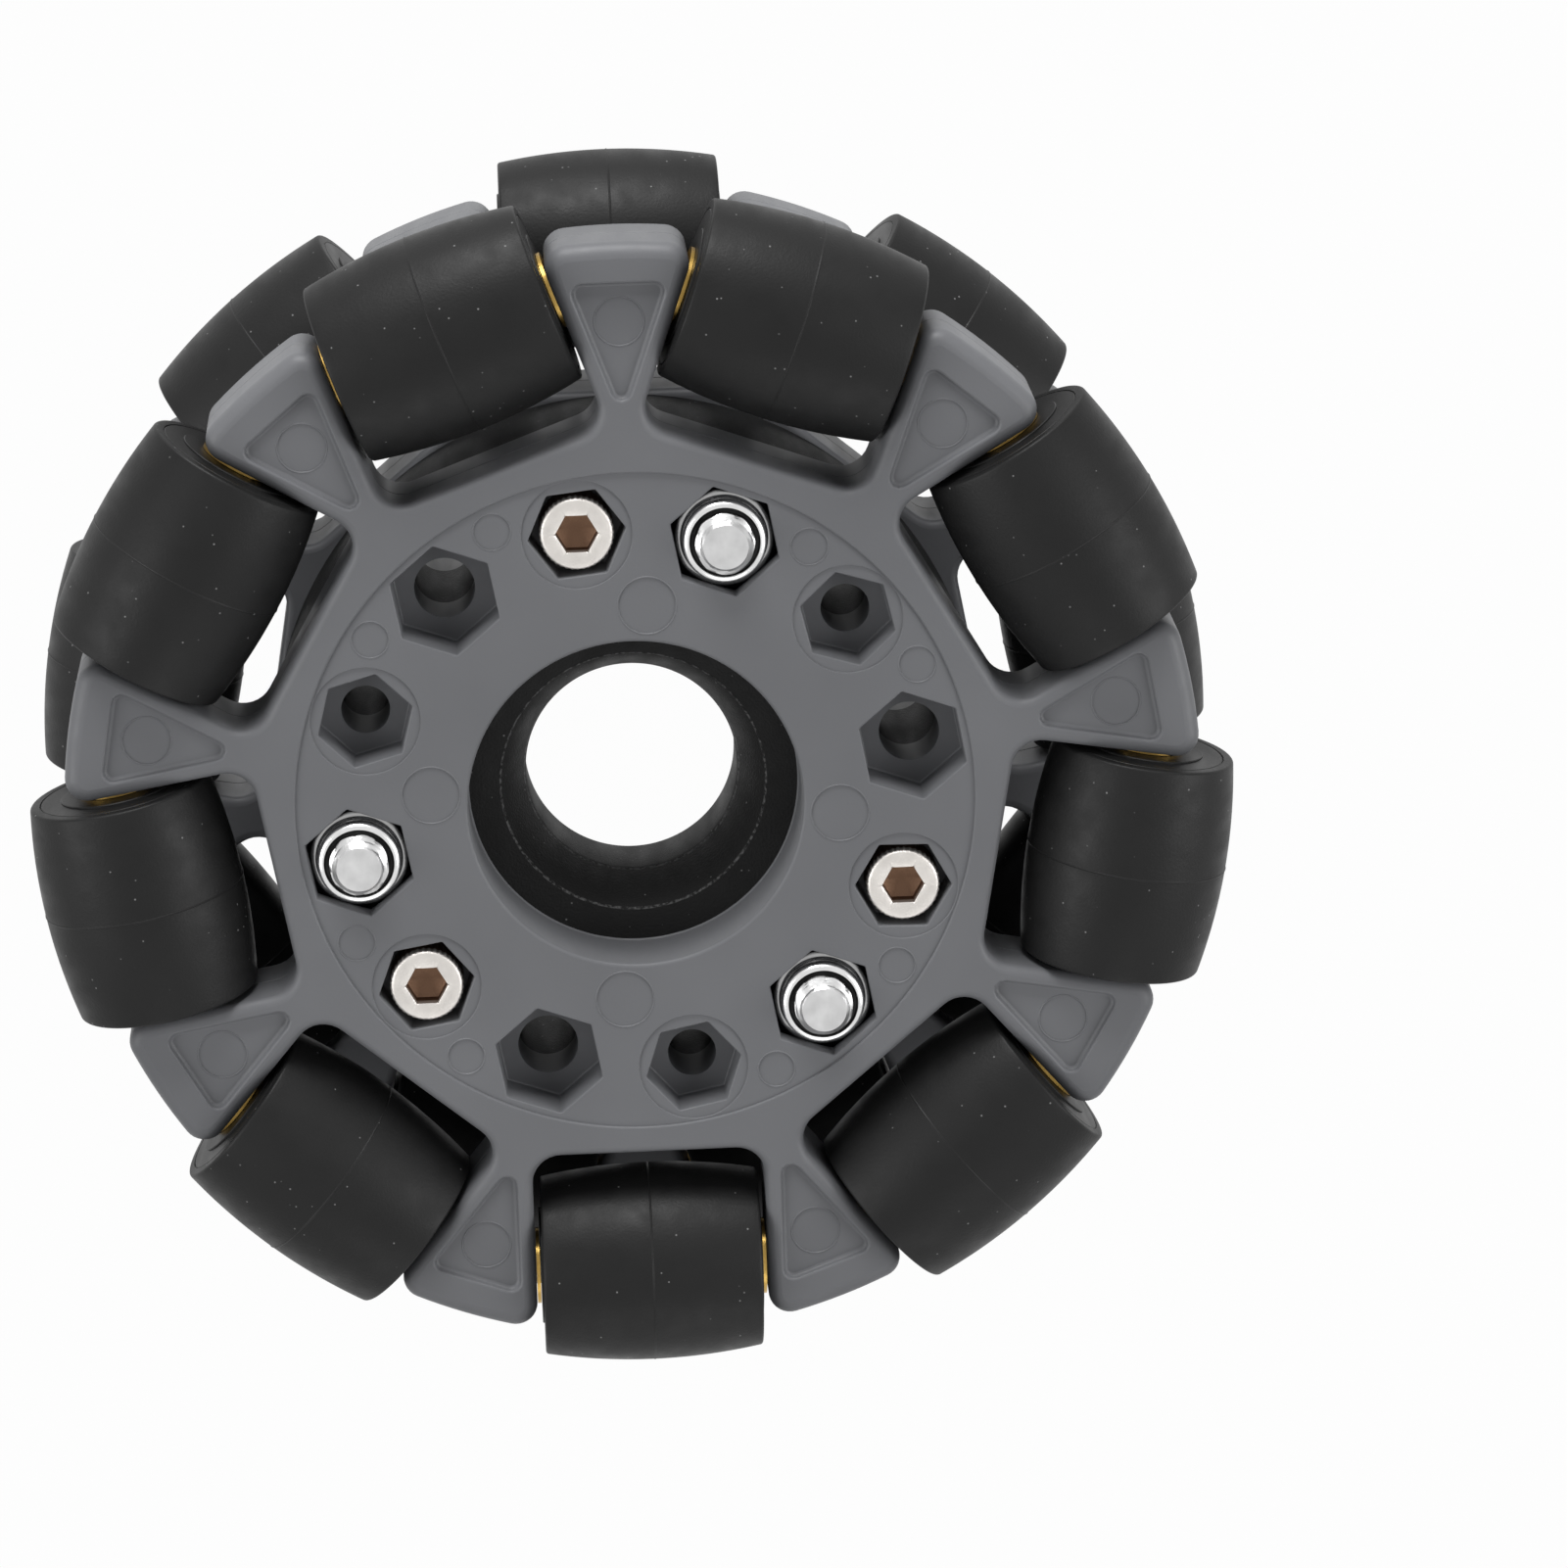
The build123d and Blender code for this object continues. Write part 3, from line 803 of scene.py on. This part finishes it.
def tread():
    """Rubber tread about the Z axis. Its crown is an arc of the wheel's own outline, radius =
    sqrt(R^2 - z^2) - axle distance, with a fine parting ridge of exp(-(z / width)^2) that reaches
    the full radius. Each end is rounded by an arc that touches the crown: the arc's centre lies
    sqrt((R - edge)^2 - z^2) from the wheel's axis."""
    crown = wheel_radius - parting_ridge
    centre_z = tread_half - tread_edge
    centre_radius = math.sqrt((crown - tread_edge) ** 2 - centre_z**2) - axle_circle_radius
    start = math.asin(centre_z / (crown - tread_edge))
    ridge_z = np.linspace(0, parting_reach, 9)
    z = np.concatenate((ridge_z, np.linspace(crown_start, crown * math.sin(start), 20)))
    radius = np.sqrt(crown**2 - z**2) - axle_circle_radius
    radius += parting_ridge * np.exp(-((z / parting_width) ** 2))
    angle = np.linspace(start, math.pi / 2, 7)[1:]
    edge_radius = centre_radius + tread_edge * np.cos(angle)
    edge_z = centre_z + tread_edge * np.sin(angle)
    half = list(zip(radius, z)) + list(zip(edge_radius, edge_z))
    half += [(core_radius + roller_joint, tread_half), (core_radius, tread_half - roller_joint)]
    other = [(r, -h) for r, h in reversed(half[1:])]
    return around(*other, *half, columns=168, wrap_rows=True)


def roller_core():
    """Moulded core: a low boss at each end, its edge rounded, and a hole for the pin."""
    half = [
        (core_radius, tread_half - roller_joint),
        (core_radius - roller_joint, tread_half),
        (boss_radius, tread_half),
        (boss_radius, boss_end - boss_edge),
        (boss_radius - boss_edge, boss_end),
        (pin_hole_radius, boss_end),
    ]
    other = [(r, -h) for r, h in reversed(half)]
    return around(*other, *half, columns=120, wrap_rows=True)


def on_axle(angle, height):
    """Places a roller: its own Z axis lies along the axle, its X axis points outwards."""
    c, s = math.cos(math.radians(angle)), math.sin(math.radians(angle))
    columns = ((c, s, 0), (0, 0, -1), (-s, c, 0))
    place = Matrix(columns).transposed().to_4x4()
    place.translation = Vector((c * axle_circle_radius, s * axle_circle_radius, height))
    return place


rows = {"front": (front_roller_angle, row_plane), "back": (back_roller_angle, -row_plane)}
tread_surface, core_surface = tread(), roller_core()
for row, (first_angle, height) in rows.items():
    for number in range(1, rollers_per_row + 1):
        place = on_axle(first_angle + (number - 1) * row_angle, height)
        body = f"{row}_roller_{number}"
        rubber, plastic = [moved(tread_surface, place)], [moved(core_surface, place)]
        node = f"{row}_tread_{number}"
        piece(f"{node}_rubber", rubber, tread_rubber, body, "tread_rubber", node)
        node = f"{row}_roller_core_{number}"
        piece(f"{node}_plastic", plastic, roller_plastic, body, "roller_plastic", node)


# Screws, bolts and nuts, each made around the Z axis and then moved to its pocket

def hexagon_radius(width, columns=144):
    """Distance to a hexagon's side in each direction: half the width / cos of the angle from the
    middle of the side."""
    angle = (directions(columns) + math.pi / 6) % (math.pi / 3) - math.pi / 6
    return width / 2 / np.cos(angle)


def thread_rings(radius, pitch, low, high, tip_low=None, tip_high=None, columns=144):
    """A screw thread from low to high. Its depth swings by a triangle wave of z / pitch - angle /
    full turn, and 45 degree cones cut its ends to the given tip radii."""
    depth = thread_depth * pitch
    rings = []
    for z in np.linspace(low, high, max(2, int((high - low) / pitch * rings_per_pitch) + 1)):
        phase = (z / pitch - directions(columns) / (2 * np.pi)) % 1.0
        ring = radius - depth * np.clip(1.25 - 2.5 * np.abs(phase - 0.5), 0, 1)
        if tip_low is not None:
            ring = np.minimum(ring, tip_low + (z - low))
        if tip_high is not None:
            ring = np.minimum(ring, tip_high + (high - z))
        rings.append((ring, z))
    return rings


def socket_screw():
    """Socket head with a knurled side, rounded rim and hexagon socket, and a threaded end."""
    columns = 240
    seat_z = socket_head_z - m6_head_height
    shank = thread_rings(
        m6_radius, m6_pitch, socket_end_z, m6_thread_end, tip_low=m6_tip_radius, columns=columns
    )
    wave = 0.5 - 0.5 * np.cos(knurl_ridges * directions(columns))
    knurl = m6_head_radius - knurl_depth * wave
    socket = hexagon_radius(m6_socket_width, columns)
    rings = [(0.0, socket_end_z), *shank]
    rings += [(m6_radius, m6_thread_end + m6_runout), (m6_radius, seat_z)]
    rings += [(m6_head_radius - 0.3, seat_z), (knurl, seat_z + 0.2), (knurl, socket_head_z - 0.55)]
    for inset, drop in ((0.16, 0.3), (0.3, 0.1), (0.55, 0.0)):  # the rounded rim of the head
        rings.append((m6_head_radius - inset, socket_head_z - drop))
    rings += [(m6_socket_mouth, socket_head_z), (socket, socket_head_z - 0.15)]
    socket_floor = socket_head_z - m6_socket_depth
    rings += [(socket, socket_floor), (0.0, socket_floor - m6_drill_point)]
    return around(*rings, columns=columns)


def hexagon_chamfer(width, top, down=1):
    """Height of a hexagon's upper edge where a 30 degree cone from the edge of its flat face cuts
    its corners, or of its lower edge where down is -1."""
    flat_radius = width / 2 - hexagon_inset
    drop = (hexagon_radius(width) - flat_radius) * math.tan(math.radians(30))
    return top - down * drop


def lock_nut(width, low, high, hexagon_height, collar_radius, bore):
    """Hexagon with chamfered corners under a rolled collar, which holds the insert."""
    side = hexagon_radius(width)
    flat_radius = width / 2 - hexagon_inset
    shoulder = low + hexagon_height
    rings = [(bore, low), (flat_radius, low), (side, hexagon_chamfer(width, low, down=-1))]
    rings += [(side, hexagon_chamfer(width, shoulder)), (flat_radius, shoulder)]
    rings += [(collar_radius + fillet_out, shoulder), (collar_radius, shoulder + fillet_up)]
    for angle in np.linspace(0, math.pi / 2, 6):
        reach_in = collar_roll * (1 - math.cos(angle))
        drop = collar_roll * (1 - math.sin(angle))
        rings.append((collar_radius - reach_in, high - drop))
    # The groove of the insert, as distances out from the bore and down from the top
    for out, drop in ((0.75, 0.0), (0.6, 0.25), (0.6, 1.4), (0.0, 1.4)):
        rings.append((bore + out, high - drop))
    return around(*rings, wrap_rows=True)


def nut_insert(high, bore):
    """Nylon ring in the collar's groove, by distances out from the bore and down from the top."""
    section = (0.0, 1.3), (0.58, 1.3), (0.58, 0.5), (0.45, 0.35), (0.0, 0.45)
    return around(*((bore + out, high - drop) for out, drop in section), wrap_rows=True)


def hexagon_bolt():
    """Hexagon head below, with chamfered corners, and a threaded end above."""
    side = hexagon_radius(m8_width)
    flat_radius = m8_width / 2 - hexagon_inset
    shank = thread_rings(m8_radius, m8_pitch, large_nut_low, bolt_end_z, tip_high=m8_tip_radius)
    rings = [(0.0, bolt_head_z), (flat_radius, bolt_head_z)]
    rings += [(side, hexagon_chamfer(m8_width, bolt_head_z, down=-1))]
    rings += [(side, bolt_head_low), (m8_radius, bolt_head_low)]
    rings += [(m8_radius, large_nut_low - m8_runout), *shank, (0.0, bolt_end_z)]
    return around(*rings)


def on_bolt_circle(surface, angles, turns=(0.0,), flip=False):
    """Copies of a surface on the bolt circle, with a hexagon's flat side towards the axis."""
    copies = []
    for index, angle in enumerate(angles):
        place = at(*polar(bolt_circle_radius, angle), angle + turns[index % len(turns)])
        copies.append(moved(surface, turned_over @ place if flip else place))
    return copies


screws = on_bolt_circle(socket_screw(), small_screw_angles, small_screw_turns)
node = "m6_socket_screws"
piece(f"{node}_turned", screws, screw_steel, "hub", "screw_steel", node, sharp=40)
bolts = on_bolt_circle(hexagon_bolt(), large_bolt_angles)
node = "m8_bolts"
piece(f"{node}_turned", bolts, bolt_steel, "hub", "bolt_steel", node, sharp=40)

heights = large_nut_low, large_nut_high
nut = lock_nut(m8_width, *heights, m8_hexagon_height, m8_collar_radius, m8_nut_bore)
insert = nut_insert(large_nut_high, m8_nut_bore)
nuts = on_bolt_circle(nut, large_bolt_angles)
inserts = on_bolt_circle(insert, large_bolt_angles)
piece("m8_nuts_plated", nuts, collar_steel, "hub", "nut_steel", "m8_nuts")
piece("m8_nut_inserts", inserts, insert_nylon, "hub", "nut_steel")

heights = -small_nut_high, -small_nut_low
turns = small_pocket_turns[1::2]
nut = lock_nut(m6_nut_width, *heights, m6_hexagon_height, m6_collar_radius, m6_nut_bore)
insert = nut_insert(-small_nut_low, m6_nut_bore)
nuts = on_bolt_circle(nut, small_screw_angles, turns, flip=True)
inserts = on_bolt_circle(insert, small_screw_angles, turns, flip=True)
piece("m6_nuts_plated", nuts, nut_steel, "hub", "nut_steel", "m6_nuts")
piece("m6_nut_inserts", inserts, insert_nylon, "hub", "nut_steel")

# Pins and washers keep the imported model's own shape
for row in rows:
    for kind, material in (("pins", pin_steel), ("washers", washer_brass)):
        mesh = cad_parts[f"{row}_roller_{kind}"].data
        mesh.materials.clear()
        mesh.materials.append(material)


# Floor, light and camera

ground_half = 6.0  # metres
ground_tone = 125
ground_glow = 0.98  # share of white in what the camera sees of the ground
world_fill = 0.18


def seen(tree):
    """1 for rays of the camera and of reflections, 0 for the rays that light the wheel."""
    rays = add(tree, "ShaderNodeLightPath").outputs
    inputs = {0: rays["Is Camera Ray"], 1: rays["Is Glossy Ray"]}
    return add(tree, "ShaderNodeMath", inputs, operation="MAXIMUM").outputs[0]


def white_ground():
    """Ground under the wheel: almost white to the eye, with a part of the real shadow kept."""
    material, tree, shader, _ = new_material("white_ground")
    shader.inputs["Base Color"].default_value = srgb(ground_tone)
    shader.inputs["Roughness"].default_value = 0.9
    shader.inputs["Specular IOR Level"].default_value = 0.0
    glow = add(tree, "ShaderNodeEmission", {"Color": srgb(255), "Strength": 1.0}).outputs[0]
    share = product(tree, seen(tree), ground_glow)
    mixed = add(tree, "ShaderNodeMixShader", {0: share, 1: shader.outputs[0], 2: glow})
    tree.links.new(mixed.outputs[0], tree.nodes["Material Output"].inputs["Surface"])
    return material


def make_ground():
    """A wide flat ground at the wheel's lowest point."""
    signs = (-1, -1), (1, -1), (1, 1), (-1, 1)
    corners = [(x * ground_half, y * ground_half, cad_low.z) for x, y in signs]
    mesh = bpy.data.meshes.new("ground")
    mesh.from_pydata(corners, [], [(0, 1, 2, 3)])
    mesh.materials.append(white_ground())
    ground = bpy.data.objects.new("ground", mesh)
    bpy.context.scene.collection.objects.link(ground)


def make_world():
    """Soft light from all round, and white where the camera or a reflection looks past the
    ground."""
    world = bpy.data.worlds.new("studio")
    world.use_nodes = True
    tree = world.node_tree
    soft = tree.nodes["Background"]
    soft.inputs["Color"].default_value = srgb(255)
    soft.inputs["Strength"].default_value = world_fill
    white = add(tree, "ShaderNodeBackground", {"Color": srgb(255), "Strength": 1.0}).outputs[0]
    mixed = add(tree, "ShaderNodeMixShader", {0: seen(tree), 1: soft.outputs[0], 2: white})
    tree.links.new(mixed.outputs[0], tree.nodes["World Output"].inputs["Surface"])
    bpy.context.scene.world = world


def make_lamp(name, position, size, power):
    """A square soft lamp that looks at the wheel's centre. Position and size are in metres."""
    lamp = bpy.data.lights.new(name, "AREA")
    lamp.shape = "SQUARE"
    lamp.size = size
    lamp.energy = power
    made = bpy.data.objects.new(name, lamp)
    aim = Vector(position).to_track_quat("Z", "Y").to_matrix().to_4x4()
    made.matrix_world = Matrix.Translation(position) @ aim
    bpy.context.scene.collection.objects.link(made)


# The camera's place and aim are in millimetres, as fitted to the photograph
camera_position = Vector((-17.744, 229.769, 826.161))
camera_aim = Vector((21.101, -5.016, 0.0))
camera_roll = -1.63  # degrees
camera_lens = 142.65
sensor_width = 36.0
clip_end = 50.0  # metres


def make_camera():
    """Camera above the front face, a little towards +Y."""
    data = bpy.data.cameras.new("camera")
    data.sensor_fit = "HORIZONTAL"
    data.sensor_width = sensor_width
    data.lens = camera_lens
    data.clip_end = clip_end
    made = bpy.data.objects.new("camera", data)
    back = (camera_position - camera_aim).normalized()
    right = Vector((0, 1, 0)).cross(back).normalized()
    up = back.cross(right)
    pose = Matrix((right, up, back)).transposed().to_4x4()
    pose = pose @ Matrix.Rotation(math.radians(camera_roll), 4, "Z")
    made.matrix_world = Matrix.Translation(camera_position * METRES) @ pose
    bpy.context.scene.collection.objects.link(made)
    bpy.context.scene.camera = made


make_ground()
make_world()
make_lamp("key", (-0.1, 1.1, 0.24), size=0.6, power=12.5)
make_lamp("left", (-1.1, 0.0, 0.7), size=0.8, power=7.0)
make_lamp("right", (1.1, 0.0, 0.7), size=0.8, power=7.4)
make_lamp("front", (0.1, -1.1, 0.8), size=0.8, power=2.6)
make_camera()
bpy.context.scene.view_settings.view_transform = "Standard"
